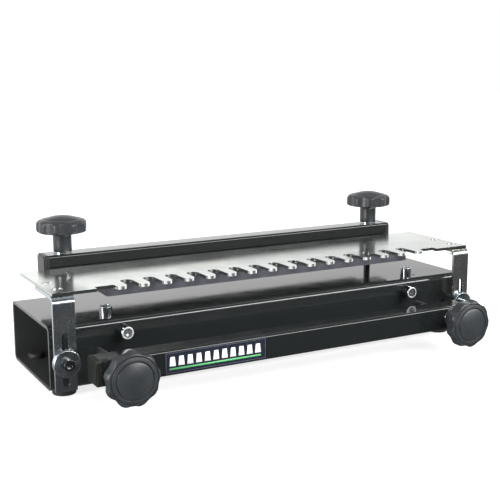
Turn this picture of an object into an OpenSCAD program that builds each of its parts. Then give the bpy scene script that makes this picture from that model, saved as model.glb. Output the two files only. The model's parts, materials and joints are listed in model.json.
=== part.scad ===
// Half-blind dovetail jig: box-tube body, comb template on slotted brackets and two screw clamp bars.
// Millimetres. +X runs along the jig, -Y faces the person using it, +Z is up.
// The origin is the middle of the bench-screw pattern, on the underside of the body tube.

/* [Body tube] */
// Length of the tube along X
body_len = 468; // [462:1:500]
// Depth of the tube along Y
body_depth = 118; // [114:1:130]
// Height of the tube
body_h = 60; // [58:1:70]
// Thickness of the tube's wall
body_wall = 3; // [2.5:0.25:4]
// Outside radius of the tube's corners
body_corner_r = 6; // [4:0.5:6]

/* [Boards] */
// Thickness of the flat board that lies on the tube
flat_board_t = 18.5; // [16:0.5:25]
// Thickness of the upright board against the front of the tube
upright_board_t = 23; // [20:0.5:26]

/* [Template] */
// Length of the comb plate
comb_len = 462; // [456:1:468]
// Distance from one finger of the comb to the next
comb_pitch = 22.225; // [20:0.025:22.5]
// Number of fingers
finger_count = 16; // [8:2:16]
// Width of a finger
finger_w = 10.6; // [8:0.1:12]
// Distance from the bottom of a slot to the tip of a finger
finger_len = 25.5; // [22:0.5:28]
// Thickness of the comb plate
plate_t = 3; // [2.5:0.25:4]
// Depth of the comb plate from its back edge to the front of its end tabs
plate_depth = 100; // [96:1:108]
// Thickness of the strip under the plate
strip_t = 12.5; // [10:0.5:16]
// Depth of the strip under the plate
strip_depth = 40; // [30:1:44]

/* [Brackets] */
// Width of a bracket
leg_w = 20; // [19:0.5:22]
// Thickness of a bracket
leg_t = 3; // [2.5:0.25:3.5]
// Space between the tube's front face and the back of a leg
leg_gap = 15.6; // [12:0.1:18]
// Length of a leg's slot, end to end
leg_slot_len = 49; // [40:1:50]
// Diameter of the thick turned washer on a leg
bracket_washer_d = 25; // [22:1:28]

/* [Clamp bars] */
// Outside size of the square bars
bar_side = 24; // [23:0.5:25]
// Wall of the square bars
bar_wall = 2; // [1.5:0.25:2.5]
// Length of a bar without its end caps
bar_len = 402; // [398:1:404]
// Thickness of the flange on an end cap
cap_t = 4.8; // [3:0.1:5]
// Thickness of the grip pads
pad_t = 3; // [2:0.25:3.5]
// Distance between the two studs of a bar
stud_spacing = 366.2; // [360:0.2:368]

/* [Knobs] */
// Radius of a knob over its lobes
knob_r = 25; // [24:0.1:26]
// Height of a knob, from the foot of its stem to the top of its domed face
knob_h = 35.6; // [34:0.1:38]
// Number of lobes
knob_lobes = 9; // [6:1:10]
// Radius of the stem under the head
stem_r = 9.1; // [8.5:0.1:10]

/* [Stops and feet] */
// Diameter of the turned board stops
stop_d = 12; // [11:0.5:14]
// Height of the stops on top of the tube
top_stop_h = 10; // [9.5:0.1:10]
// Height of the stops on the front of the tube
front_stop_h = 13.3; // [10:0.1:14]
// Diameter of a foot
foot_d = 24; // [20:1:26]
// Height of a foot
foot_h = 7.5; // [6:0.5:9]

/* [Hidden] */

$fn = 48;
SIDES = [-1, 1];
CUT = 1;              // how far a cutting shape runs past the face it cuts
GAP = 0.05;           // running clearance, on the radius or between two faces
FREE = 0.2;           // clearance of a screw in a plain hole, on the radius
MIN_R = 0.5;          // smallest inside radius of a tube's corners

front_y = -57;        // the bench-screw pattern is centred this far behind the tube's front face
back_y = front_y + body_depth;
body_mid_x = 3;       // the tube stands out further past the comb at the right end
body_mid_y = (front_y + back_y) / 2;

// Threads: stud and screw radii are the outside of the thread
m8_r = 4;
m6_r = 3;
m5_r = 2.5;
m4_r = 2;
past_nut = 1.5;       // how far a screw runs past its nut

// Nuts: across flats, height
m8_nut = [13, 6.5];
m6_nut = [10, 5];
m5_nut = [8, 4];

// Socket-head screws: head radius, head height, socket across flats
m6_cap = [5, 6, 5];
m5_cap = [4.25, 5, 4];

// Countersunk screws: head radius, socket across flats
m5_sunk = [4.75, 3];
m4_sunk = [4, 2.5];

// Bench screw holes in the underside
bench_x = 320;
bench_y = 70;
bench_r = 3.25;

// Feet, under the corners of the tube, each pushed through a hole and held by its head
foot_inset_x = 5;
foot_inset_y = 3;
foot_taper = 1;
foot_round = 1;
foot_x = body_len / 2 - foot_d / 2 - foot_inset_x;
foot_y = body_depth / 2 - foot_d / 2 - foot_inset_y;
foot_neck_r = 4;
foot_head_r = 8;
foot_head_h = 5;

// Template heights, with the strip resting on the flat board
strip_z = body_h + flat_board_t;
plate_z = strip_z + strip_t;
tab_w = 41;
tab_reach = 15.7;     // how far the end tabs stand out past the tube's front face
recess_reach = 8.5;   // the same for the edge between the tabs and the fingers
finger_reach = 18.5;  // the same for the tips of the fingers
tab_front_y = front_y - tab_reach;
plate_back_y = tab_front_y + plate_depth;
tab_inner_x = comb_len / 2 - tab_w;
recess_front_y = front_y - recess_reach;
finger_tip_y = front_y - finger_reach;
slot_w = comb_pitch - finger_w;
slot_root_y = finger_tip_y + finger_len;
strip_end_inset = 1;
strip_setback = 5;    // from the bottoms of the slots back to the strip
strip_len = (finger_count - 1) * comb_pitch + finger_w - 2 * strip_end_inset;
strip_front_y = slot_root_y + strip_setback;
strip_screw_x = [-120, -40, 40, 120];
strip_screw_y = strip_front_y + strip_depth / 2;
plate_skin = 0.6;     // steel left above the holes for the strip's screws
screw_end_gap = 0.2;
screw_sink = 0.4;     // how far the template screws sit below the plate's top
screw_ring = 0.25;    // open ring round their heads

// Brackets
leg_x = 222;
leg_back_y = front_y - leg_gap;
leg_front_y = leg_back_y - leg_t;
leg_bottom_z = 5;
leg_slot_z = 33.5;
leg_slot_w = 6.5;
leg_clamp_z = 31.5;
bend_r = 7;
flange_len = 53;
template_screw_y = [front_y - 2, front_y + 26];
washer_t = 5;
washer_chamfer = 0.8;
spacer_r = 6;

// Clamp bars, each a little off its board
board_slack = 0.5;
front_bar_y = front_y - upright_board_t - board_slack - pad_t - bar_side / 2;
front_bar_z = 26.6;
front_stud_rise = 0.6;  // the front bar hangs on its studs by this much
front_stud_z = front_bar_z + front_stud_rise;
rear_bar_inset = 5;
rear_bar_y = back_y - rear_bar_inset - bar_side / 2;
rear_bar_z = strip_z + board_slack + pad_t + bar_side / 2;
bar_corner_r = 2.5;
bar_hole_r = 5;
cap_chamfer = 1.2;
plug_len = 12;
plug_wall = 2;
pad_len = 340;
pad_w = 18;
label_x = [-141.5, -38.6];
label_h = 20;
label_t = 0.4;

// Knobs and studs
knob_washer_t = 1.6;
knob_washer_r = 9;
stud_len = 71.5;      // from the foot of the knob's stem to the tip of the stud
stud_in_knob = 16;
stud_chamfer = 1;
boss_r = 6.5;
boss_h = 7;
boss_chamfer = 1;
front_knob_turn = [6, -3];  // how far the left and right front knobs are turned
neck_r = 2.2;         // fillet between the stem and the head
head_z = 17.8;        // top of that fillet
rim_z = 19.4;         // lower edge of the lobes
rim_low_r = 3;
rim_high_r = 4.5;
shoulder_z = knob_h - 4.4;
scallop_r = 12;
scallop_floor_r = 22.4;
ring_r = 21;          // outside of the ring round the face
ring_z = knob_h - 4.2;
disc_r = 16.5;        // the domed face inside the ring
disc_z = knob_h - 3.2;
groove_w = 0.7;
groove_h = 0.7;
dome_r = (disc_r ^ 2 + (knob_h - disc_z) ^ 2) / (2 * (knob_h - disc_z));
DOME_STEPS = 5;
ARC_STEP = 15;

// Board stops
top_stop_x = 172.3;
top_stop_setback = 13.4;
top_stop_y = front_y + top_stop_setback;
vent_x = 185;         // small drain holes beside the top stops
vent_y = front_y + 16;
vent_r = 1.8;
front_stop_x = 161.2;
front_stop_z = 48.6;
stop_recess_r = 4.5;
stop_recess_h = 5.5;
stop_chamfer = 0.6;

// ---- Shared shapes -------------------------------------------------------------------------------

// Rounded rectangle centred on the origin, in the XY plane
module rounded_rect(w, h, r) {
    square([w - 2 * r, h], center = true);
    square([w, h - 2 * r], center = true);
    for (sx = SIDES, sy = SIDES) {
        translate([sx * (w / 2 - r), sy * (h / 2 - r)]) {
            circle(r);
        }
    }
}

// Rectangular tube along X, with w across Y and h across Z, centred on the origin
module tube_x(len, w, h, wall, r) {
    rotate([90, 0, 90]) {
        translate([0, 0, -len / 2]) {
            linear_extrude(len) {
                difference() {
                    rounded_rect(w, h, r);
                    rounded_rect(w - 2 * wall, h - 2 * wall, max(r - wall, MIN_R));
                }
            }
        }
    }
}

// Puts children on the tube's front face, with their +Z pointing out towards -Y
module on_front(x, z, y = front_y) {
    translate([x, y, z]) {
        rotate([90, 0, 0]) {
            children();
        }
    }
}

// Straight hole or shaft along +Z, from z0 to z1
module rod(r, z0, z1) {
    translate([0, 0, z0]) {
        cylinder(r = r, h = z1 - z0);
    }
}

// Disc standing on z = 0, with its top edge chamfered
module turned_disc(r, h, chamfer) {
    rotate_extrude() {
        polygon([[0, 0], [r, 0], [r, h - chamfer], [r - chamfer, h], [0, h]]);
    }
}

// Hexagon nut standing on z = 0; size is [across flats, height]
module hex_nut(size, bore_r) {
    difference() {
        cylinder(r = size[0] / sqrt(3), h = size[1], $fn = 6);
        rod(bore_r + GAP, -CUT, size[1] + CUT);
    }
}

// Socket-head screw: the head stands on z = 0 and the shank runs down
// head is [radius, height, socket across flats]
module cap_screw(r, head, shank_len) {
    difference() {
        rod(head[0], 0, head[1]);
        translate([0, 0, head[1] / 2]) {
            cylinder(r = head[2] / sqrt(3), h = head[1], $fn = 6);
        }
    }
    rod(r, -shank_len, 0);
}

// Countersunk socket screw, with the top of its head on z = 0
// head is [radius, socket across flats]
module sunk_screw(r, head, shank_len) {
    head_r = head[0];
    cone_h = head_r - r;
    difference() {
        union() {
            translate([0, 0, -cone_h]) {
                cylinder(r1 = r, r2 = head_r, h = cone_h);
            }
            rod(r, -shank_len, -cone_h);
        }
        translate([0, 0, -cone_h]) {
            cylinder(r = head[1] / sqrt(3), h = cone_h + CUT, $fn = 6);
        }
    }
}

// Hole for a countersunk screw, with its mouth on z = 0
module sunk_hole(r, head_r, depth) {
    cone_h = head_r - r;
    rod(r + GAP, -depth, CUT);
    translate([0, 0, -cone_h]) {
        cylinder(r1 = r + GAP, r2 = head_r + GAP, h = cone_h);
    }
    rod(head_r + GAP, 0, CUT);
}

// ---- Body ----------------------------------------------------------------------------------------

// Moves its children from the origin to the top of a foot
module at_foot(sx, sy) {
    translate([body_mid_x + sx * foot_x, body_mid_y + sy * foot_y, 0]) {
        children();
    }
}

module body_tube() {
    color([0.12, 0.13, 0.135])
    difference() {
        translate([body_mid_x, body_mid_y, body_h / 2]) {
            tube_x(body_len, body_depth, body_h, body_wall, body_corner_r);
        }
        for (s = SIDES) {
            on_front(s * stud_spacing / 2, front_stud_z) {
                rod(m8_r + FREE, -body_wall - CUT, CUT);
            }
            on_front(s * leg_x, leg_clamp_z) {
                rod(m6_r + FREE, -body_wall - CUT, CUT);
            }
            on_front(s * front_stop_x, front_stop_z) {
                rod(m5_r + FREE, -body_wall - CUT, CUT);
            }
            translate([s * stud_spacing / 2, rear_bar_y, body_h]) {
                rod(m8_r + FREE, -body_wall - CUT, CUT);
            }
            translate([s * top_stop_x, top_stop_y, body_h]) {
                rod(m5_r + FREE, -body_wall - CUT, CUT);
            }
            translate([s * vent_x, vent_y, body_h]) {
                rod(vent_r, -body_wall - CUT, CUT);
            }
        }
        for (sx = SIDES, sy = SIDES) {
            translate([sx * bench_x / 2, sy * bench_y / 2, 0]) {
                rod(bench_r, -CUT, body_wall + CUT);
            }
            at_foot(sx, sy) {
                rod(foot_neck_r + GAP, -CUT, body_wall + CUT);
            }
        }
    }
}

module clamp_nuts() {
    color("silver")
    for (s = SIDES) {
        on_front(s * stud_spacing / 2, front_stud_z, front_y + body_wall + m8_nut[1]) {
            hex_nut(m8_nut, m8_r);
        }
        translate([s * stud_spacing / 2, rear_bar_y, body_h - body_wall - m8_nut[1]]) {
            hex_nut(m8_nut, m8_r);
        }
    }
}

// Round bosses on the tube's front face that steady the front studs
module clamp_bosses() {
    color([0.12, 0.13, 0.135])
    for (s = SIDES) {
        on_front(s * stud_spacing / 2, front_stud_z) {
            difference() {
                turned_disc(boss_r, boss_h, boss_chamfer);
                rod(m8_r + FREE, -CUT, boss_h + CUT);
            }
        }
    }
}

module bracket_nuts() {
    color("silver")
    for (s = SIDES) {
        on_front(s * leg_x, leg_clamp_z, front_y + body_wall + m6_nut[1]) {
            hex_nut(m6_nut, m6_r);
        }
    }
}

module stop_nuts() {
    color("silver")
    for (s = SIDES) {
        on_front(s * front_stop_x, front_stop_z, front_y + body_wall + m5_nut[1]) {
            hex_nut(m5_nut, m5_r);
        }
        translate([s * top_stop_x, top_stop_y, body_h - body_wall - m5_nut[1]]) {
            hex_nut(m5_nut, m5_r);
        }
    }
}

// Half outline of a foot: the pad under the tube, the neck in its hole and the rounded head inside
function foot_outline() = concat(
    [[0, -foot_h]],
    arc_points([foot_d / 2 - foot_taper - foot_round, foot_round - foot_h], foot_round, -90, 0),
    [
        [foot_d / 2, 0],
        [foot_neck_r, 0],
        [foot_neck_r, body_wall + GAP]
    ],
    arc_points([foot_head_r - foot_round, body_wall + GAP + foot_round], foot_round, -90, 0),
    arc_points([foot_head_r - foot_head_h / 2, body_wall + foot_head_h / 2], foot_head_h / 2, 0, 90),
    [[0, body_wall + foot_head_h]]
);

module rubber_feet() {
    color([0.08, 0.08, 0.08])
    for (sx = SIDES, sy = SIDES) {
        at_foot(sx, sy) {
            rotate_extrude() {
                polygon(foot_outline());
            }
        }
    }
}

// Turned bush standing on z = 0, with a recess in its top for a socket screw
module stop_bush(h) {
    difference() {
        turned_disc(stop_d / 2, h, stop_chamfer);
        rod(m5_r + FREE, -CUT, h);
        rod(stop_recess_r, h - stop_recess_h, h + CUT);
    }
}

// Screw that holds a stop of height h, reaching through the wall and the nut
module stop_screw(h) {
    translate([0, 0, h - stop_recess_h]) {
        cap_screw(m5_r, m5_cap, h - stop_recess_h + body_wall + m5_nut[1] + past_nut);
    }
}

module top_stop_bushes() {
    color([0.75, 0.77, 0.78])
    for (s = SIDES) {
        translate([s * top_stop_x, top_stop_y, body_h]) {
            stop_bush(top_stop_h);
        }
    }
}

module top_stop_screws() {
    color("silver")
    for (s = SIDES) {
        translate([s * top_stop_x, top_stop_y, body_h]) {
            stop_screw(top_stop_h);
        }
    }
}

module front_stop_bushes() {
    color([0.75, 0.77, 0.78])
    for (s = SIDES) {
        on_front(s * front_stop_x, front_stop_z) {
            stop_bush(front_stop_h);
        }
    }
}

module front_stop_screws() {
    color("silver")
    for (s = SIDES) {
        on_front(s * front_stop_x, front_stop_z) {
            stop_screw(front_stop_h);
        }
    }
}

module bracket_spacers() {
    color("silver")
    for (s = SIDES) {
        on_front(s * leg_x, leg_clamp_z) {
            difference() {
                rod(spacer_r, 0, leg_gap - GAP);
                rod(m6_r + FREE, -CUT, leg_gap + CUT);
            }
        }
    }
}

module bracket_washers() {
    color([0.8, 0.82, 0.83])
    for (s = SIDES) {
        on_front(s * leg_x, leg_clamp_z, leg_front_y - GAP) {
            difference() {
                turned_disc(bracket_washer_d / 2, washer_t, washer_chamfer);
                rod(m6_r + FREE, -CUT, washer_t + CUT);
            }
        }
    }
}

module bracket_screws() {
    under_head = washer_t + GAP + leg_t + leg_gap;
    color([0.7, 0.72, 0.73])
    for (s = SIDES) {
        on_front(s * leg_x, leg_clamp_z, leg_front_y - GAP - washer_t) {
            cap_screw(m6_r, m6_cap, under_head + body_wall + m6_nut[1] + past_nut);
        }
    }
}

// ---- Template ------------------------------------------------------------------------------------

// Outline of the comb plate: a sheet with end tabs and fingers, less the slots between the fingers
module comb_outline() {
    difference() {
        union() {
            translate([-tab_inner_x, recess_front_y]) {
                square([2 * tab_inner_x, plate_back_y - recess_front_y]);
            }
            for (s = SIDES) {
                translate([s * (comb_len / 2 + tab_inner_x) / 2, (tab_front_y + plate_back_y) / 2]) {
                    square([comb_len / 2 - tab_inner_x, plate_depth], center = true);
                }
            }
            for (i = [0 : finger_count - 1]) {
                translate([(i - (finger_count - 1) / 2) * comb_pitch, finger_tip_y + finger_w / 2]) {
                    circle(finger_w / 2);
                    translate([-finger_w / 2, 0]) {
                        square([finger_w, recess_front_y - finger_tip_y]);
                    }
                }
            }
        }
        for (i = [1 : finger_count - 1]) {
            translate([(i - finger_count / 2) * comb_pitch, slot_root_y - slot_w / 2]) {
                circle(slot_w / 2);
                translate([-slot_w / 2, -finger_len]) {
                    square([slot_w, finger_len]);
                }
            }
        }
    }
}

module template_plate() {
    color([0.8, 0.83, 0.81])
    difference() {
        translate([0, 0, plate_z]) {
            linear_extrude(plate_t) {
                comb_outline();
            }
        }
        for (s = SIDES, y = template_screw_y) {
            translate([s * leg_x, y, plate_z + plate_t - screw_sink]) {
                sunk_hole(m5_r, m5_sunk[0] + screw_ring, plate_t + CUT);
            }
        }
        for (x = strip_screw_x) {
            translate([x, strip_screw_y, plate_z]) {
                rod(m4_r + GAP, -CUT, plate_t - plate_skin);
            }
        }
    }
}

module template_spacer() {
    color([0.2, 0.2, 0.23])
    difference() {
        translate([-strip_len / 2, strip_front_y, strip_z]) {
            cube([strip_len, strip_depth, strip_t]);
        }
        for (x = strip_screw_x) {
            translate([x, strip_screw_y, strip_z]) {
                mirror([0, 0, 1]) {
                    sunk_hole(m4_r, m4_sunk[0], strip_t + CUT);
                }
            }
        }
    }
}

module spacer_screws() {
    color("silver")
    for (x = strip_screw_x) {
        translate([x, strip_screw_y, strip_z]) {
            mirror([0, 0, 1]) {
                sunk_screw(m4_r, m4_sunk, strip_t + plate_t - plate_skin - screw_end_gap);
            }
        }
    }
}

// Side view of a bracket, with the outside of its bend at the origin: x runs back, y runs up
module bracket_outline(leg_len) {
    difference() {
        union() {
            translate([0, -leg_len]) {
                square([leg_t, leg_len - bend_r]);
            }
            translate([bend_r, -leg_t]) {
                square([flange_len - bend_r, leg_t]);
            }
            translate([bend_r, -bend_r]) {
                intersection() {
                    circle(bend_r);
                    translate([-bend_r, 0]) {
                        square(bend_r);
                    }
                }
            }
        }
        translate([bend_r, -bend_r]) {
            circle(bend_r - leg_t);
        }
    }
}

// Angle bracket whose leg slides on the clamp screw and whose flange carries the plate
module bracket(x) {
    difference() {
        translate([x - leg_w / 2, leg_front_y, plate_z]) {
            rotate([90, 0, 90]) {
                linear_extrude(leg_w) {
                    bracket_outline(plate_z - leg_bottom_z);
                }
            }
        }
        for (s = SIDES) {
            on_front(x, leg_slot_z + s * (leg_slot_len - leg_slot_w) / 2, leg_back_y) {
                rod(leg_slot_w / 2, -CUT, leg_t + CUT);
            }
        }
        translate([x, (leg_front_y + leg_back_y) / 2, leg_slot_z]) {
            cube([leg_slot_w, leg_t + 2 * CUT, leg_slot_len - leg_slot_w], center = true);
        }
        for (y = template_screw_y) {
            translate([x, y, plate_z]) {
                rod(m5_r + FREE, -leg_t - CUT, CUT);
            }
        }
    }
}

module bracket_left() {
    color([0.62, 0.66, 0.7])
    bracket(-leg_x);
}

module bracket_right() {
    color([0.62, 0.66, 0.7])
    bracket(leg_x);
}

module template_screws() {
    color("silver")
    for (s = SIDES, y = template_screw_y) {
        translate([s * leg_x, y, plate_z + plate_t - screw_sink]) {
            sunk_screw(m5_r, m5_sunk, plate_t + leg_t + m5_nut[1] + past_nut - screw_sink);
        }
    }
}

module template_nuts() {
    color("silver")
    for (s = SIDES, y = template_screw_y) {
        translate([s * leg_x, y, plate_z - leg_t - m5_nut[1]]) {
            hex_nut(m5_nut, m5_r);
        }
    }
}

// ---- Clamp bars ----------------------------------------------------------------------------------
// A bar is drawn along X with its outer face, the one under the knobs, towards +Z

// Square tube with two holes for the studs, centred on the origin
module bar_tube() {
    difference() {
        tube_x(bar_len, bar_side, bar_side, bar_wall, bar_corner_r);
        for (s = SIDES) {
            translate([s * stud_spacing / 2, 0, 0]) {
                rod(bar_hole_r, -bar_side, bar_side);
            }
        }
    }
}

// End caps with chamfered flanges and hollow plugs
module bar_caps() {
    plug_side = bar_side - 2 * bar_wall - 2 * GAP;
    for (s = SIDES) {
        translate([s * bar_len / 2, 0, 0]) {
            rotate([0, s * 90, 0]) {
                linear_extrude(cap_t - cap_chamfer) {
                    rounded_rect(bar_side, bar_side, bar_corner_r);
                }
                linear_extrude(cap_t) {
                    rounded_rect(bar_side - 2 * cap_chamfer, bar_side - 2 * cap_chamfer, bar_corner_r);
                }
                translate([0, 0, -plug_len]) {
                    linear_extrude(plug_len) {
                        difference() {
                            rounded_rect(plug_side, plug_side, bar_corner_r - bar_wall / 2);
                            square(plug_side - 2 * plug_wall, center = true);
                        }
                    }
                }
            }
        }
    }
}

// Grip pad on the inner face of a bar
module bar_pad() {
    translate([-pad_len / 2, -pad_w / 2, -bar_side / 2 - pad_t]) {
        cube([pad_len, pad_w, pad_t]);
    }
}

// Washers between the knobs and the outer face of a bar
module bar_washers(rise) {
    for (s = SIDES) {
        translate([s * stud_spacing / 2, rise, bar_side / 2]) {
            difference() {
                rod(knob_washer_r, 0, knob_washer_t);
                rod(m8_r + FREE, -CUT, knob_washer_t + CUT);
            }
        }
    }
}

// Points every 15 degrees along an arc about [x, y], from one angle to another
function arc_points(centre, r, from, to) = [
    for (a = [from : to > from ? ARC_STEP : -ARC_STEP : to])
        centre + r * [cos(a), sin(a)]
];

// Half outline of a knob: radius against height above the foot of the stem
function knob_outline() = [
    [0, 0], [stem_r, 0],
    each arc_points([stem_r + neck_r, head_z - neck_r], neck_r, 180, 90),
    each arc_points([knob_r - rim_low_r, rim_z + rim_low_r], rim_low_r, -90, 0),
    each arc_points([knob_r - rim_high_r, shoulder_z - rim_high_r], rim_high_r, 0, 75),
    [ring_r, shoulder_z - groove_h], [ring_r, ring_z],
    [disc_r + groove_w, disc_z], [disc_r + groove_w, disc_z - groove_h], [disc_r, disc_z - groove_h],
    for (i = [DOME_STEPS : -1 : 0])
        let (a = asin(disc_r / dome_r) * i / DOME_STEPS)
            [dome_r * sin(a), knob_h - dome_r * (1 - cos(a))]
];

// Lobed knob standing on z = 0, hollow where its stud is moulded in
module knob() {
    difference() {
        rotate_extrude() {
            polygon(knob_outline());
        }
        for (i = [0 : knob_lobes - 1]) {
            rotate((i + 0.5) * 360 / knob_lobes) {
                translate([scallop_floor_r + scallop_r, 0, 0]) {
                    rod(scallop_r, head_z - CUT, knob_h + CUT);
                }
            }
        }
        rod(m8_r + GAP, -CUT, stud_in_knob);
    }
}

// Stud of a knob, running down from inside its stem
module knob_stud() {
    rod(m8_r, stud_chamfer - stud_len, stud_in_knob - GAP);
    translate([0, 0, -stud_len]) {
        cylinder(r1 = m8_r - stud_chamfer, r2 = m8_r, h = stud_chamfer);
    }
}

// Places of the bars and of their left (-1) and right (+1) knobs, at rest
module at_front_bar() {
    on_front(0, front_bar_z, front_bar_y) {
        children();
    }
}

module at_rear_bar() {
    translate([0, rear_bar_y, rear_bar_z]) {
        children();
    }
}

module at_knob(side, rise = 0) {
    translate([side * stud_spacing / 2, rise, bar_side / 2 + knob_washer_t]) {
        children();
    }
}

module front_bar() {
    color([0.12, 0.13, 0.135])
    at_front_bar() bar_tube();
}

module front_bar_caps() {
    color([0.2, 0.21, 0.2])
    at_front_bar() bar_caps();
}

module front_bar_pad() {
    color([0.1, 0.1, 0.1])
    at_front_bar() bar_pad();
}

module front_label() {
    color([0.16, 0.17, 0.24])
    at_front_bar() {
        translate([label_x[0], -label_h / 2, bar_side / 2]) {
            cube([label_x[1] - label_x[0], label_h, label_t]);
        }
    }
}

module front_knob_washers() {
    color("silver")
    at_front_bar() bar_washers(front_stud_rise);
}

module front_left_knob() {
    color([0.18, 0.185, 0.19])
    at_front_bar() at_knob(-1, front_stud_rise) rotate(front_knob_turn[0]) knob();
}

module front_left_stud() {
    color("silver")
    at_front_bar() at_knob(-1, front_stud_rise) knob_stud();
}

module front_right_knob() {
    color([0.18, 0.185, 0.19])
    at_front_bar() at_knob(1, front_stud_rise) rotate(front_knob_turn[1]) knob();
}

module front_right_stud() {
    color("silver")
    at_front_bar() at_knob(1, front_stud_rise) knob_stud();
}

module rear_bar() {
    color([0.12, 0.13, 0.135])
    at_rear_bar() bar_tube();
}

module rear_bar_caps() {
    color([0.2, 0.21, 0.2])
    at_rear_bar() bar_caps();
}

module rear_bar_pad() {
    color([0.1, 0.1, 0.1])
    at_rear_bar() bar_pad();
}

module rear_knob_washers() {
    color("silver")
    at_rear_bar() bar_washers(0);
}

module rear_left_knob() {
    color([0.18, 0.185, 0.19])
    at_rear_bar() at_knob(-1) knob();
}

module rear_left_stud() {
    color("silver")
    at_rear_bar() at_knob(-1) knob_stud();
}

module rear_right_knob() {
    color([0.18, 0.185, 0.19])
    at_rear_bar() at_knob(1) knob();
}

module rear_right_stud() {
    color("silver")
    at_rear_bar() at_knob(1) knob_stud();
}

// ---- Nodes ---------------------------------------------------------------------------------------

body_tube();
clamp_nuts();
clamp_bosses();
bracket_nuts();
stop_nuts();
rubber_feet();
top_stop_bushes();
top_stop_screws();
front_stop_bushes();
front_stop_screws();
bracket_spacers();
bracket_washers();
bracket_screws();
template_plate();
template_spacer();
spacer_screws();
bracket_left();
bracket_right();
template_screws();
template_nuts();
front_bar();
front_bar_caps();
front_bar_pad();
front_label();
front_knob_washers();
front_left_knob();
front_left_stud();
front_right_knob();
front_right_stud();
rear_bar();
rear_bar_caps();
rear_bar_pad();
rear_knob_washers();
rear_left_knob();
rear_left_stud();
rear_right_knob();
rear_right_stud();
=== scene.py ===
"""Looks for the dovetail jig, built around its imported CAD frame. Metres, in the shared frame."""
import json
import math

import bmesh
import bpy
from mathutils import Matrix, Vector


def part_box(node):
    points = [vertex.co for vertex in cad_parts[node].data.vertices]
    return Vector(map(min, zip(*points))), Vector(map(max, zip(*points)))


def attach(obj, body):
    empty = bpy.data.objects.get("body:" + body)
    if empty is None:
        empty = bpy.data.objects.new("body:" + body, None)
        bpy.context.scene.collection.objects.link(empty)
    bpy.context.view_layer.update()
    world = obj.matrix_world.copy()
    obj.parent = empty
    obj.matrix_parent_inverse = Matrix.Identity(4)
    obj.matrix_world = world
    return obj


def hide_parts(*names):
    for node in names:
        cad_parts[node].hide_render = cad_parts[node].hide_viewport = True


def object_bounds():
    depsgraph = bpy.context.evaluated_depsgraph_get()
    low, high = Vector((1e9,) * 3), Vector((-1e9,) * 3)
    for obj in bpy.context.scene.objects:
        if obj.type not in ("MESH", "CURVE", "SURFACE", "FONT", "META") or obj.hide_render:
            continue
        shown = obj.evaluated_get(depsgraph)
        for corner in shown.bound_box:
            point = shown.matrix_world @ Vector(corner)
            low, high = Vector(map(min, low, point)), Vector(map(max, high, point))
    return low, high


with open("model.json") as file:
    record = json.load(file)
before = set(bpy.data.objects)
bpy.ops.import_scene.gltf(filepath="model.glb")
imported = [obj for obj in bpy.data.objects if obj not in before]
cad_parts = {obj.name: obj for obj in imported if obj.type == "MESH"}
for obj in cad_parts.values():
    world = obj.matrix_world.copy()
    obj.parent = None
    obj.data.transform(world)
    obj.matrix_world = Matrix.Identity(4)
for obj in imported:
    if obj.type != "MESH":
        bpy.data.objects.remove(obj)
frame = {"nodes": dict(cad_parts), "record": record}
cad_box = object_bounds()
NODES = frame["nodes"]
MM = 0.001
TAU = 2 * math.pi

# ---- Node graph helpers ---------------------------------------------------------------------------


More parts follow.
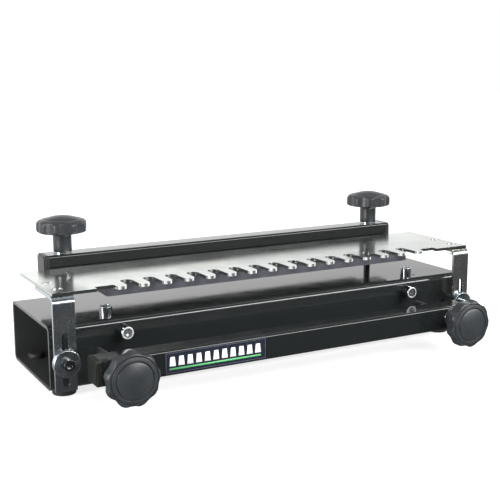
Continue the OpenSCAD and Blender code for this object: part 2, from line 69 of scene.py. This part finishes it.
class Graph:
    """A small wrapper that adds shader nodes and links them in one call."""

    def __init__(self, name):
        self.material = bpy.data.materials.new(name)
        self.material.use_nodes = True
        self.tree = self.material.node_tree
        self.shader = self.tree.nodes["Principled BSDF"]
        self.output = self.tree.nodes["Material Output"]

    def add(self, kind, inputs=(), **settings):
        """Adds a node; inputs maps a socket's name or index to a value or to another node's output."""
        node = self.tree.nodes.new("ShaderNode" + kind)
        for key, value in settings.items():
            setattr(node, key, value)
        for key, value in dict(inputs).items():
            self.set(node, key, value)
        return node

    def set(self, node, key, value):
        socket = node.inputs[key]
        if isinstance(value, bpy.types.NodeSocket):
            self.tree.links.new(value, socket)
        elif isinstance(value, bpy.types.Node):
            self.tree.links.new(value.outputs[0], socket)
        else:
            socket.default_value = value

    def surface(self, **inputs):
        """Sets inputs of the Principled BSDF; an underscore in a name stands for a space."""
        for key, value in inputs.items():
            self.set(self.shader, key.replace("_", " "), value)
        return self

    def coords(self, scale=(1, 1, 1)):
        """Object coordinates in metres, scaled."""
        where = self.add("TexCoord").outputs["Object"]
        return self.add("Mapping", {"Vector": where, "Scale": scale})

    def noise(self, scale, detail=3, rough=0.5, stretch=(1, 1, 1), distortion=0.0):
        """Noise whose cells are about 1/scale metres wide."""
        return self.add("TexNoise", {
            "Vector": self.coords(stretch), "Scale": scale, "Detail": detail,
            "Roughness": rough, "Distortion": distortion,
        }).outputs["Fac"]

    def span(self, value, low, high, to_low, to_high):
        """Maps low..high onto to_low..to_high, clamped."""
        return self.add("MapRange", {
            "Value": value, "From Min": low, "From Max": high, "To Min": to_low, "To Max": to_high,
        }).outputs[0]

    def math(self, operation, a, b=0.0):
        return self.add("Math", {0: a, 1: b}, operation=operation).outputs[0]

    def mix(self, fac, a, b):
        """Mixes two colours or colour outputs."""
        node = self.tree.nodes.new("ShaderNodeMix")
        node.data_type = "RGBA"
        for key, value in ((0, fac), (6, a), (7, b)):
            self.set(node, key, value)
        return node.outputs[2]

    def within(self, low, high):
        """1 inside a box across Y and Z, and 0 outside it."""
        spot = self.add("SeparateXYZ", {0: self.coords()})
        inside = 1.0
        for axis, a, b in (("Y", low.y, high.y), ("Z", low.z, high.z)):
            away = self.math("ABSOLUTE", self.math("SUBTRACT", spot.outputs[axis], (a + b) / 2))
            inside = self.math("MULTIPLY", inside, self.math("LESS_THAN", away, (b - a) / 2))
        return inside

    def bump(self, height, strength, distance):
        return self.add("Bump", {"Height": height, "Strength": strength, "Distance": distance}).outputs[0]

    def edges(self, radius):
        """1 along sharp edges and 0 elsewhere, from the angle between the rounded and the true normal."""
        rounded = self.add("Bevel", {"Radius": radius}, samples=4).outputs[0]
        true = self.add("NewGeometry").outputs["Normal"]
        dot = self.add("VectorMath", {0: rounded, 1: true}, operation="DOT_PRODUCT").outputs["Value"]
        return self.span(dot, 0.995, 0.9, 0.0, 1.0)


def rgb(r, g, b):
    return (r, g, b, 1.0)


# ---- Materials ------------------------------------------------------------------------------------


def gloss_paint(name, base, bore=None):
    """Gloss black paint; with a bore's lowest and highest corner, the coat inside is painted paler, patchy
    and rougher: painted light that lifts the shade inside the bore.
    """
    g = Graph(name)
    dust = g.noise(60, 4, 0.6)
    peel = g.noise(420, 2, 0.4)
    chips = g.math("MULTIPLY", g.edges(0.5 * MM), g.span(g.noise(350, 3, 0.7), 0.45, 0.62, 0.0, 1.0))
    colour = g.mix(chips, base, rgb(0.22, 0.22, 0.21))
    rough = g.span(dust, 0.35, 0.7, 0.07, 0.14)
    if bore:
        # Painted light: inside the bore the colour is paler and patchy, lifting the shade there.
        inside = g.within(*bore)
        inside_painted_light = g.mix(g.noise(45, 4, 0.65), rgb(0.023, 0.026, 0.028), rgb(0.040, 0.040, 0.038))
        colour = g.mix(inside, colour, inside_painted_light)
        rough = g.math("ADD", rough, g.math("MULTIPLY", inside, 0.3))
    return g.surface(
        Base_Color=colour,
        Roughness=rough,
        IOR=1.56,
        Normal=g.bump(peel, 0.06, 0.1 * MM),
    ).material


SLOT_DEPTH = 25.5 * MM
# How far the painted highlight reaches from the slot roots and the finger tips, in metres
ROOT_PATCH = 1.5 * MM
TIP_PATCH = (1.6 * MM, 2.4 * MM)


def comb_steel():
    """Rolled sheet with painted highlights: its finger tips and slot roots are painted near-white, as glints
    there.
    """
    g = Graph("comb_steel")
    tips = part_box("template_plate")[0].y
    roots = tips + SLOT_DEPTH
    depth = g.add("SeparateXYZ", {0: g.coords()}).outputs["Y"]
    facing = g.add("SeparateXYZ", {0: g.add("NewGeometry").outputs["True Normal"]})
    sideways = g.math("ABSOLUTE", facing.outputs["X"])
    on_edge = g.span(g.math("ABSOLUTE", facing.outputs["Z"]), 0.4, 0.8, 1.0, 0.0)
    at_tip = g.span(depth, tips + TIP_PATCH[0], tips + TIP_PATCH[1], 1.0, 0.0)
    at_tip = g.math("MULTIPLY", at_tip, g.span(sideways, 0.1, 0.5, 0.1, 0.75))
    at_root = g.math("LESS_THAN", g.math("ABSOLUTE", g.math("SUBTRACT", depth, roots)), ROOT_PATCH)
    at_root = g.math("MULTIPLY", at_root, g.span(sideways, 0.1, 0.4, 0.4, 0.0))
    # Painted highlight: vertical faces near the finger tips and slot roots turn near-white and less metallic.
    painted_glint = g.math("MULTIPLY", on_edge, g.math("MAXIMUM", at_tip, at_root))
    grain = g.noise(700, 4, 0.65, (0.04, 1, 1))
    cloud = g.noise(16, 4, 0.6)
    stain = g.span(g.noise(30, 5, 0.7, distortion=0.6), 0.5, 0.75, 0.0, 1.0)
    colour = g.mix(g.span(cloud, 0.35, 0.65, 0.0, 1.0), rgb(0.48, 0.51, 0.49), rgb(0.58, 0.605, 0.585))
    colour = g.mix(stain, colour, rgb(0.54, 0.53, 0.46))
    return g.surface(
        Base_Color=g.mix(painted_glint, colour, rgb(0.93, 0.96, 0.96)),
        Metallic=g.span(painted_glint, 0.0, 1.0, 1.0, 0.3),
        Roughness=g.math("ADD", g.span(grain, 0.3, 0.7, 0.12, 0.18), g.span(cloud, 0.35, 0.65, 0.06, 0.0)),
        Normal=g.bump(grain, 0.05, 0.06 * MM),
    ).material


def zinc_plate(name, yellow=0.0, centre=None):
    """Mottled zinc plate, painted paler along its sharp edges as a highlight; with a centre (x, z), a turned
    face whose grooves run round it and round its mirror image on the other side of x = 0."""
    g = Graph(name)
    fleck = g.span(g.noise(950, 3, 0.75), 0.3, 0.7, 0.0, 1.0)
    patch = g.span(g.noise(70, 4, 0.6), 0.35, 0.65, 0.0, 1.0)
    # Painted highlight: sharp edges are painted a paler cyan-white, as edge glints.
    edge_glint = g.edges(0.4 * MM)
    colour = g.mix(fleck, rgb(0.32, 0.40, 0.48), rgb(0.62, 0.70, 0.77))
    colour = g.mix(g.math("MULTIPLY", patch, 0.55), colour, rgb(0.52, 0.50, 0.45))
    colour = g.mix(yellow, colour, rgb(0.95, 0.86, 0.62))
    g.surface(
        Base_Color=g.mix(edge_glint, colour, rgb(0.74, 0.80, 0.82)),
        Metallic=1.0,
        Roughness=g.math("ADD", g.span(fleck, 0.0, 1.0, 0.26, 0.16), g.math("MULTIPLY", patch, 0.05)),
        Normal=g.bump(fleck, 0.06, 0.06 * MM),
    )
    if centre is not None:
        spot = g.add("SeparateXYZ", {0: g.coords()})
        side = g.math("SIGN", spot.outputs["X"])
        across = g.math("SUBTRACT", spot.outputs["X"], g.math("MULTIPLY", side, centre[0]))
        up = g.math("SUBTRACT", spot.outputs["Z"], centre[1])
        along = g.add("CombineXYZ", {0: g.math("MULTIPLY", up, -1.0), 2: across})
        g.surface(Anisotropic=0.7, Tangent=g.add("VectorMath", {0: along}, operation="NORMALIZE"))
    return g.material


def plated(name, darker, lighter):
    """Smooth clouded metal coat."""
    g = Graph(name)
    cloud = g.noise(120, 4, 0.6)
    return g.surface(
        Base_Color=g.mix(cloud, darker, lighter),
        Metallic=1.0,
        Roughness=g.span(cloud, 0.3, 0.7, 0.10, 0.22),
        Normal=g.bump(g.noise(900, 2), 0.06, 0.1 * MM),
    ).material


def turned_steel(name, axis):
    """Turned bar: mirror-like on its side, with brighter machined faces square to its axis."""
    g = Graph(name)
    lines = g.noise(1500, 2, 0.5, (0.04, 0.04, 1) if axis == "Z" else (0.04, 1, 0.04))
    facing = g.add("SeparateXYZ", {0: g.add("NewGeometry").outputs["True Normal"]}).outputs[axis]
    end = g.span(g.math("ABSOLUTE", facing), 0.5, 0.9, 0.0, 1.0)
    colour = g.mix(end, g.mix(lines, rgb(0.42, 0.46, 0.48), rgb(0.74, 0.78, 0.80)), rgb(0.84, 0.88, 0.88))
    return g.surface(
        Base_Color=colour,
        Metallic=g.span(end, 0.0, 1.0, 1.0, 0.62),
        Roughness=g.math("ADD", g.span(lines, 0.3, 0.7, 0.06, 0.16), g.math("MULTIPLY", end, 0.2)),
        Normal=g.bump(lines, 0.05, 0.06 * MM),
    ).material


def moulding(name, colour, lighter, rough_range, grain_scale, grain_strength):
    """Dark moulded or blackened surface with a fine grain."""
    g = Graph(name)
    cloud = g.noise(50, 3, 0.6)
    grain = g.noise(grain_scale, 3, 0.6)
    return g.surface(
        Base_Color=g.mix(g.span(cloud, 0.35, 0.65, 0.0, 1.0), colour, lighter),
        Roughness=g.span(grain, 0.3, 0.7, *rough_range),
        IOR=1.48,
        Normal=g.bump(grain, grain_strength, 0.12 * MM),
    ).material


def strip_composite():
    g = Graph("strip_composite")
    speckle = g.noise(1400, 2, 0.7)
    layers = g.noise(500, 3, 0.6, (0.05, 0.05, 1))
    dots = g.span(speckle, 0.52, 0.66, 0.0, 1.0)
    colour = g.mix(dots, rgb(0.046, 0.048, 0.062), rgb(0.24, 0.24, 0.28))
    return g.surface(
        Base_Color=g.mix(g.span(layers, 0.4, 0.6, 0.0, 0.35), colour, rgb(0.09, 0.092, 0.105)),
        Roughness=0.62,
        Normal=g.bump(speckle, 0.3, 0.1 * MM),
    ).material


def label_film():
    g = Graph("label_film")
    cloud = g.noise(35, 3, 0.5)
    return g.surface(
        Base_Color=g.mix(cloud, rgb(0.010, 0.012, 0.021), rgb(0.014, 0.0165, 0.028)),
        Roughness=g.span(g.noise(300, 2), 0.3, 0.7, 0.2, 0.28),
        Normal=g.bump(g.noise(80, 2), 0.1, 0.1 * MM),
    ).material


def ink(name, colour):
    g = Graph(name)
    return g.surface(
        Base_Color=g.mix(g.noise(200, 3), colour, rgb(*(0.9 * c for c in colour[:3]))),
        Roughness=g.span(g.noise(700, 2), 0.3, 0.7, 0.25, 0.35),
    ).material


MATERIALS = {
    "gloss_black_paint": gloss_paint("gloss_black_paint", rgb(0.0085, 0.010, 0.010)),
    "comb_steel": comb_steel(),
    "zinc_steel": zinc_plate("zinc_steel"),
    "bright_fastener": plated("bright_fastener", rgb(0.48, 0.50, 0.51), rgb(0.78, 0.79, 0.80)),
    "turned_steel": turned_steel("turned_steel", "Z"),
    "blackened_steel": moulding(
        "blackened_steel", rgb(0.014, 0.014, 0.016), rgb(0.03, 0.03, 0.032), (0.22, 0.36), 800, 0.2),
    "knob_plastic": moulding(
        "knob_plastic", rgb(0.018, 0.0205, 0.023), rgb(0.026, 0.029, 0.032), (0.30, 0.42), 1300, 0.35),
    "cap_plastic": moulding(
        "cap_plastic", rgb(0.011, 0.012, 0.011), rgb(0.018, 0.019, 0.017), (0.32, 0.46), 900, 0.3),
    "strip_composite": strip_composite(),
    "black_rubber": moulding(
        "black_rubber", rgb(0.014, 0.0125, 0.012), rgb(0.026, 0.022, 0.020), (0.5, 0.7), 500, 0.4),
    "label_film": label_film(),
}


def paint(obj, material):
    obj.data.materials.clear()
    obj.data.materials.append(material)


SLOT_OF = {p["node"]: p["material_slot"] for p in frame["record"]["subparts"]}
BODY_OF = {n: b for b, members in frame["record"]["behaviour"]["bodies"].items() for n in members}

# ---- CAD nodes: materials, clean shading and rounded edges ------------------------------------------


WELD_GAP = 0.002 * MM
FLAT_DEGREES = 0.4
SHARP_DEGREES = 32


def round_edges(obj, width):
    """Joins the node's loose triangles, clears its flat seams and rounds its edges, all as modifiers."""
    for name in ("custom_normal", "sharp_edge", "sharp_face"):
        layer = obj.data.attributes.get(name)
        if layer is not None:
            obj.data.attributes.remove(layer)
    for p in obj.data.polygons:
        p.use_smooth = True
    weld = obj.modifiers.new("weld", "WELD")
    weld.merge_threshold = WELD_GAP
    flat = obj.modifiers.new("flat", "DECIMATE")
    flat.decimate_type = "DISSOLVE"
    flat.angle_limit = math.radians(FLAT_DEGREES)
    bevel = obj.modifiers.new("bevel", "BEVEL")
    bevel.width = width
    bevel.segments = 2
    bevel.limit_method = "ANGLE"
    bevel.angle_limit = math.radians(SHARP_DEGREES)
    bevel.use_clamp_overlap = True
    bevel.miter_outer = "MITER_ARC"
    shade = obj.modifiers.new("shade", "WEIGHTED_NORMAL")
    shade.mode = "FACE_AREA"
    shade.weight = 100


# Edge widths in millimetres, where they differ from the usual one
USUAL_EDGE = 0.2
EDGE = {
    "body_tube": 0.35,
    "template_plate": 0.5, "template_spacer": 0.4, "bracket_left": 0.4, "bracket_right": 0.4,
    "front_bar": 0.3, "rear_bar": 0.3, "front_bar_caps": 0.3, "rear_bar_caps": 0.3,
    "front_bar_pad": 0.5, "rear_bar_pad": 0.5,
    "bracket_washers": 0.25, "rubber_feet": 0.6, "front_label": 0.08,
}
washer_lo, washer_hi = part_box("bracket_washers")
washer_r = (washer_hi.z - washer_lo.z) / 2
washer_centre = (washer_hi.x - washer_r, (washer_lo.z + washer_hi.z) / 2)
tube_lo, tube_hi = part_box("body_tube")
half_wall = Vector((1, 1, 1)) * 1.5 * MM
GUNMETAL = plated("gunmetal", rgb(0.16, 0.165, 0.165), rgb(0.32, 0.315, 0.305))
OWN_LOOK = {
    # The tube's paint gets painted light inside its bore, paler than the coat outside.
    "body_tube": gloss_paint(
        "tube_paint", rgb(0.0135, 0.0155, 0.0155), (tube_lo + half_wall, tube_hi - half_wall)),
    "bracket_screws": GUNMETAL,
    "bracket_right": zinc_plate("zinc_steel_warm", 0.25),
    "front_stop_bushes": turned_steel("turned_steel_front", "Y"),
    "bracket_washers": zinc_plate("turned_zinc", centre=washer_centre),
}
for name, obj in NODES.items():
    paint(obj, OWN_LOOK.get(name) or MATERIALS[SLOT_OF[name]])
    round_edges(obj, EDGE.get(name, USUAL_EDGE) * MM)

# ---- New pieces -----------------------------------------------------------------------------------


def new_object(name, bm):
    """Turns a bmesh into an object of the scene."""
    mesh = bpy.data.meshes.new(name)
    bm.to_mesh(mesh)
    bm.free()
    obj = bpy.data.objects.new(name, mesh)
    bpy.context.scene.collection.objects.link(obj)
    return obj


def add_piece(name, bm, node, material=None):
    """Turns a bmesh into a piece with smooth faces that rides on the CAD node's body."""
    bmesh.ops.recalc_face_normals(bm, faces=bm.faces)
    obj = new_object(name, bm)
    for p in obj.data.polygons:
        p.use_smooth = True
    slot = SLOT_OF[node]
    paint(obj, material or MATERIALS[slot])
    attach(obj, BODY_OF[node])
    return obj


def smooth_min(a, b, k):
    """The lesser of a and b, rounded over a width k where they meet."""
    h = max(k - abs(a - b), 0.0) / k
    return min(a, b) - h * h * k / 4


def arc(centre_r, centre_z, radius, start, end, steps):
    """Points on an arc between two angles in degrees, with both ends."""
    return [
        (centre_r + radius * math.cos(math.radians(start + (end - start) * i / steps)),
         centre_z + radius * math.sin(math.radians(start + (end - start) * i / steps)))
        for i in range(steps + 1)
    ]


def straight(a, b, steps):
    """Points after a, up to and including b."""
    return [(a[0] + (b[0] - a[0]) * i / steps, a[1] + (b[1] - a[1]) * i / steps) for i in range(1, steps + 1)]


# Knob sizes in millimetres: ridges, scallops between them, and the blends where shapes meet
LOBES = 9
KNOB_R = 25.0
SCALLOP_R = 12.0
SCALLOP_FLOOR = 22.4
RIDGE_BLEND = 1.3
HEAD_BLEND = 0.9
LOBED_BEYOND = 20
AROUND = LOBES * 26


def lobe_radius(turn):
    """Radius of the head at an angle, with a ridge at angle zero; the scallops are round-bottomed."""
    pitch = TAU / LOBES
    off = (turn + pitch / 2) % pitch - pitch / 2
    away = pitch / 2 - abs(off)
    centre = SCALLOP_FLOOR + SCALLOP_R
    reach = SCALLOP_R ** 2 - (centre * math.sin(away)) ** 2
    scallop = centre * math.cos(away) - math.sqrt(reach) if reach > 0 else KNOB_R * 2
    return smooth_min(KNOB_R, scallop, RIDGE_BLEND)


def head_radius(radius, turn):
    """Radius of the knob at an angle: round near the axis, lobed at the rim."""
    return smooth_min(radius, lobe_radius(turn), HEAD_BLEND) if radius > LOBED_BEYOND else radius


def knob_profile():
    """Radius and height above the foot of the stem, in millimetres, from the foot to the top of the dome."""
    stem, neck, head = 9.1, 2.2, 17.8
    low, rim, high, shoulder = 3.0, 19.4, 4.5, 31.2
    ring, ring_z, disc, disc_z, top = 21.0, 31.4, 16.5, 32.4, 35.6
    dome = (disc ** 2 + (top - disc_z) ** 2) / (2 * (top - disc_z))
    dome_edge, dome_steps = 0.9, 11
    # Stem, with its blend into the underside
    pts = [(0, 0), (stem - 0.5, 0), (stem - 0.15, 0.15), (stem, 0.5)]
    pts += straight(pts[-1], (stem, head - neck), 3)
    pts += arc(stem + neck, head - neck, -neck, 0, -90, 6)[1:]
    # Rim, with its rounded lower and upper edges
    under = arc(KNOB_R - low, rim + low, low, -90, 0, 8)
    pts += straight(pts[-1], under[0], 4) + under[1:]
    upper = arc(KNOB_R - high, shoulder - high, high, 0, 78, 9)
    pts += straight(pts[-1], upper[0], 3) + upper[1:]
    # Groove round the raised ring: steps out from the ring's radius and down from its two levels
    groove = ((0.55, -0.15), (0.34, -0.6), (0.14, -0.85), (-0.06, -0.6), (-0.14, 0))
    pts += [(ring + out, shoulder + up) for out, up in groove]
    pts += [(ring + out, ring_z + up) for out, up in ((-0.3, 0.12), (-0.6, 0.22))]
    # Cone up to the disc, and the groove round the disc
    pts += straight(pts[-1], (disc + 1.1, disc_z - 0.02), 4)
    groove = (
        (0.85, -0.12), (0.72, -0.55), (0.5, -0.95), (0.25, -0.95), (0.05, -0.55), (-0.1, -0.1), (-0.4, 0.06))
    pts += [(disc + out, disc_z + up) for out, up in groove]
    # Dome of the disc
    for i in range(dome_steps, -1, -1):
        a = math.asin((disc - dome_edge) / dome) * i / dome_steps
        pts.append((dome * math.sin(a), top - dome * (1 - math.cos(a))))
    return pts


def lathe(profile, around, shape):
    """Closed solid about Z from radii and heights that start and end on the axis. shape(radius, turn)
    gives the radius at an angle."""
    bm = bmesh.new()
    rings = []
    for r, z in profile:
        if r < 1e-6:
            rings.append([bm.verts.new((0, 0, z * MM))])
            continue
        ring = []
        for i in range(around):
            turn = TAU * i / around
            reach = shape(r, turn)
            ring.append(bm.verts.new((reach * math.cos(turn) * MM, reach * math.sin(turn) * MM, z * MM)))
        rings.append(ring)
    for a, b in zip(rings, rings[1:]):
        for i in range(around):
            j = (i + 1) % around
            face = [a[i % len(a)], a[j % len(a)], b[j % len(b)], b[i % len(b)]]
            face = [v for k, v in enumerate(face) if v not in face[:k]]
            if len(face) > 2:
                bm.faces.new(face)
    return bm


# Stud sizes in millimetres, from the foot of its knob: M8 with its coarse pitch
STUD_LENGTH = 71.5
STUD_IN_KNOB = 12
PITCH = 1.25
CREST_R = 3.97
ROOT_R = 3.32
POINT_R = 3.12
# A tooth's rise, as shares of its height: how steep its flanks are, and how much its root flat cuts off
FLANK = 1.25
ROOT_FLAT = 0.125


def thread():
    """Stud with a 60-degree helical thread along Z and a chamfered free end, closed at both ends."""
    around, per_turn = 24, 8
    whole = STUD_LENGTH + STUD_IN_KNOB
    steps = round(whole / PITCH * per_turn)
    bm = bmesh.new()
    rings = []
    for s in range(steps + 1):
        z = -STUD_LENGTH + whole * s / steps
        ring = []
        for i in range(around):
            share = ((z + STUD_LENGTH) / PITCH - i / around) % 1.0
            tooth = min(1.0, max(0.0, (0.5 - abs(share - 0.5)) * 2 * FLANK - ROOT_FLAT))
            r = ROOT_R + (CREST_R - ROOT_R) * tooth
            r = min(r, POINT_R + z + STUD_LENGTH)
            turn = TAU * i / around
            ring.append(bm.verts.new((r * math.cos(turn) * MM, r * math.sin(turn) * MM, z * MM)))
        rings.append(ring)
    for a, b in zip(rings, rings[1:]):
        for i in range(around):
            j = (i + 1) % around
            bm.faces.new((a[i], a[j], b[j], b[i]))
    bm.faces.new(list(reversed(rings[0])))
    bm.faces.new(rings[-1])
    return bm


def foot_of_knob(side, place):
    """Matrix that puts a knob's own axis, foot at z = 0, where the CAD knob stands."""
    lo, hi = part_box(f"{place}_{side}_stud")
    if place == "rear":
        return Matrix.Translation(((lo.x + hi.x) / 2, (lo.y + hi.y) / 2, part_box(f"rear_{side}_knob")[0].z))
    spot = Vector(((lo.x + hi.x) / 2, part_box(f"front_{side}_knob")[1].y, (lo.z + hi.z) / 2))
    return Matrix.Translation(spot) @ Matrix.Rotation(math.radians(90), 4, "X")


# How far each front knob is turned about its own axis, in degrees
FRONT_TURN = {"left": 6, "right": -3}
profile = knob_profile()
for place in ("front", "rear"):
    for side in ("left", "right"):
        base = foot_of_knob(side, place)
        turn = Matrix.Rotation(math.radians(FRONT_TURN[side] if place == "front" else 0), 4, "Z")
        bm = lathe(profile, AROUND, head_radius)
        bmesh.ops.transform(bm, matrix=base @ turn, verts=bm.verts)
        knob = add_piece(f"{place}_{side}_grip", bm, f"{place}_{side}_knob")
        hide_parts(f"{place}_{side}_knob")
        bm = thread()
        bmesh.ops.transform(bm, matrix=base, verts=bm.verts)
        stud = add_piece(f"{place}_{side}_thread", bm, f"{place}_{side}_stud", GUNMETAL)
        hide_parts(f"{place}_{side}_stud")

# Marks on the label: a row of little dovetails with a line under it, inside a thin border
WHITE_INK = ink("white_ink", rgb(0.85, 0.86, 0.86))
GREEN_INK = ink("green_ink", rgb(0.10, 0.42, 0.16))
BORDER_INK = ink("border_ink", rgb(0.10, 0.11, 0.14))
label_lo, label_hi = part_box("front_label")


def tile(bm, left, foot, width, height, flare=0.0):
    """Adds a thin four-sided tile to bm, placed from the label's lower left corner in millimetres."""
    sink, rise = 0.02 * MM, 0.06 * MM
    right, head = left + width, foot + height
    outline = ((left, foot), (right, foot), (right - flare, head), (left + flare, head))
    spots = [(label_lo.x + x * MM, label_lo.z + z * MM) for x, z in outline]
    back = [bm.verts.new((x, label_lo.y + sink, z)) for x, z in spots]
    front = [bm.verts.new((x, label_lo.y - rise, z)) for x, z in spots]
    bm.faces.new(front)
    bm.faces.new(list(reversed(back)))
    for k in range(4):
        j = (k + 1) % 4
        bm.faces.new((back[k], back[j], front[j], front[k]))


MARK_LEFT = 4.0
TAILS, TAIL_W, TAIL_H, TAIL_FOOT, TAIL_PITCH = 11, 6.2, 8.6, 7.0, 8.7
TAIL_FLARE = 0.16 * TAIL_W
LINE_W, LINE_H, LINE_FOOT = 93.2, 1.6, 3.6
BORDER_GAP, BORDER_W, CORNER_GAP = 0.7, 0.3, 0.1
BORDER_INNER = BORDER_GAP + BORDER_W

marks = bmesh.new()
for i in range(TAILS):
    tile(marks, MARK_LEFT + i * TAIL_PITCH, TAIL_FOOT, TAIL_W, TAIL_H, TAIL_FLARE)
add_piece("label_marks_white", marks, "front_label", WHITE_INK)
marks = bmesh.new()
tile(marks, MARK_LEFT, LINE_FOOT, LINE_W, LINE_H)
add_piece("label_marks_green", marks, "front_label", GREEN_INK)
marks = bmesh.new()
label_w, label_h = (label_hi.x - label_lo.x) / MM, (label_hi.z - label_lo.z) / MM
for foot in (BORDER_GAP, label_h - BORDER_INNER):
    tile(marks, BORDER_INNER + CORNER_GAP, foot, label_w - 2 * (BORDER_INNER + CORNER_GAP), BORDER_W)
for left in (BORDER_GAP, label_w - BORDER_INNER):
    tile(marks, left, BORDER_GAP, BORDER_W, label_h - 2 * BORDER_GAP)
add_piece("label_border", marks, "front_label", BORDER_INK)

# ---- Floor, light and camera ------------------------------------------------------------------------


def floor():
    """Floor that the camera sees almost white, and that looks dim in reflections in front of the jig."""
    bm = bmesh.new()
    z = cad_box[0].z - 0.2 * MM
    for x, y in ((-6, -6), (6, -6), (6, 6), (-6, 6)):
        bm.verts.new((x, y, z))
    bm.faces.new(bm.verts)
    obj = new_object("floor", bm)
    g = Graph("floor")
    g.surface(Base_Color=rgb(0.85, 0.85, 0.85), Roughness=0.9)
    path = g.add("LightPath")
    lit = g.add("Emission", {"Color": rgb(1, 1, 1), "Strength": 1.55})
    seen = g.add("MixShader", {0: 0.5, 1: g.shader.outputs[0], 2: lit})
    spot = g.add("SeparateXYZ", {0: g.add("NewGeometry").outputs["Position"]})
    far = g.span(spot.outputs["Y"], -0.1, 0.2, 0.07, 1.1)
    mirrored = g.add("Emission", {"Color": rgb(1, 1, 1), "Strength": far})
    seen = g.add("MixShader", {0: path.outputs["Is Camera Ray"], 1: g.shader.outputs[0], 2: seen})
    seen = g.add("MixShader", {0: path.outputs["Is Glossy Ray"], 1: seen, 2: mirrored})
    g.set(g.output, "Surface", seen)
    paint(obj, g.material)


def soft_light(name, at, target, size, power):
    """Adds a rectangular area light; size in metres, power in watts."""
    data = bpy.data.lights.new(name, "AREA")
    data.shape = "RECTANGLE"
    data.size, data.size_y = size
    data.energy = power
    obj = bpy.data.objects.new(name, data)
    obj.location = at
    obj.rotation_euler = (Vector(target) - Vector(at)).to_track_quat("-Z", "Y").to_euler()
    bpy.context.scene.collection.objects.link(obj)
    return obj


def shine_on(light, receivers):
    """Limits a light to the given objects."""
    group = bpy.data.collections.new(light.name + "_receivers")
    for obj in receivers:
        group.objects.link(obj)
    light.light_linking.receiver_collection = group


def surroundings():
    """White backdrop to the camera; in reflections it is brightest low behind the jig, and dim above and
    in front of it."""
    world = bpy.data.worlds.new("studio")
    bpy.context.scene.world = world
    world.use_nodes = True
    tree = world.node_tree
    back = tree.nodes["Background"]
    back.inputs["Color"].default_value = rgb(1, 1, 1)
    way = tree.nodes.new("ShaderNodeSeparateXYZ")
    tree.links.new(tree.nodes.new("ShaderNodeTexCoord").outputs["Generated"], way.inputs[0])
    path = tree.nodes.new("ShaderNodeLightPath")

    def ramp(axis, low, high, to_low, to_high):
        node = tree.nodes.new("ShaderNodeMapRange")
        for key, value in (("From Min", low), ("From Max", high), ("To Min", to_low), ("To Max", to_high)):
            node.inputs[key].default_value = value
        tree.links.new(way.outputs[axis], node.inputs["Value"])
        return node.outputs[0]

    def join(kind, a, b, **settings):
        node = tree.nodes.new(kind)
        for key, value in settings.items():
            setattr(node, key, value)
        for socket, value in ((0, a), (1, b)):
            if isinstance(value, float):
                node.inputs[socket].default_value = value
            else:
                tree.links.new(value, node.inputs[socket])
        return node.outputs[0]

    def times(a, b):
        return join("ShaderNodeMath", a, b, operation="MULTIPLY")

    def choose(kind, otherwise, value):
        """The value for one kind of ray, and otherwise for the rest."""
        node = tree.nodes.new("ShaderNodeMix")
        tree.links.new(path.outputs[kind], node.inputs[0])
        for socket, source in ((2, otherwise), (3, value)):
            if isinstance(source, float):
                node.inputs[socket].default_value = source
            else:
                tree.links.new(source, node.inputs[socket])
        return node.outputs[0]

    # Dim in front, and brighter except at the far right; then brighter near the horizon, dim higher up,
    # and lighter again straight above
    mirrored = times(ramp("Y", -0.2, 0.3, 0.2, 1.0), ramp("X", 0.3, 0.65, 1.4, 1.0))
    mirrored = times(mirrored, ramp("Z", 0.16, 0.2, 1.25, 1.0))
    mirrored = times(mirrored, ramp("Z", 0.32, 0.6, 1.0, 0.2))
    mirrored = join("ShaderNodeMath", mirrored, ramp("Z", 0.8, 0.97, 0.0, 0.55), operation="ADD")
    level = choose("Is Glossy Ray", choose("Is Diffuse Ray", 1.0, 0.8), mirrored)
    tree.links.new(level, back.inputs["Strength"])


def camera():
    data = bpy.data.cameras.new("camera")
    data.lens = 70.16
    data.sensor_width = 36.0
    data.clip_start, data.clip_end = 0.05, 50
    obj = bpy.data.objects.new("camera", data)
    spot = (-0.4722, -0.8736, 0.2891)
    yaw, pitch, roll = math.radians(28.56), math.radians(10.87), math.radians(-0.21)
    ahead = Vector((math.sin(yaw) * math.cos(pitch), math.cos(yaw) * math.cos(pitch), -math.sin(pitch)))
    turn = ahead.to_track_quat("-Z", "Y").to_matrix().to_4x4() @ Matrix.Rotation(roll, 4, "Z")
    obj.matrix_world = Matrix.Translation(spot) @ turn
    bpy.context.scene.collection.objects.link(obj)
    bpy.context.scene.camera = obj


floor()
surroundings()
camera()
# The key light only lights; the strips only make the highlights, the higher one on the comb
FRONT_EDGE = (0, -0.05, 0.06)
key = soft_light("key", (0.61, -0.88, 0.90), FRONT_EDGE, (1.5, 0.75), 34)
key.visible_glossy = False
strip = soft_light("strip", (0.78, -1.04, 0.64), FRONT_EDGE, (1.5, 0.28), 19)
strip.visible_diffuse = False
shine_on(strip, [obj for obj in bpy.data.objects if obj.type == "MESH" and obj.name != "template_plate"])
high_strip = soft_light("high_strip", (0.60, -0.80, 1.02), FRONT_EDGE, (1.5, 0.5), 38)
high_strip.visible_diffuse = False
shine_on(high_strip, [NODES["template_plate"]])
soft_light("side", (-1.2, 0.1, 0.9), (0, 0, 0.05), (0.7, 0.7), 5)
soft_light("fill", (-1.3, -0.35, 0.22), (-0.2, 0, 0.03), (0.6, 0.5), 12)
bpy.context.scene.view_settings.view_transform = "Standard"
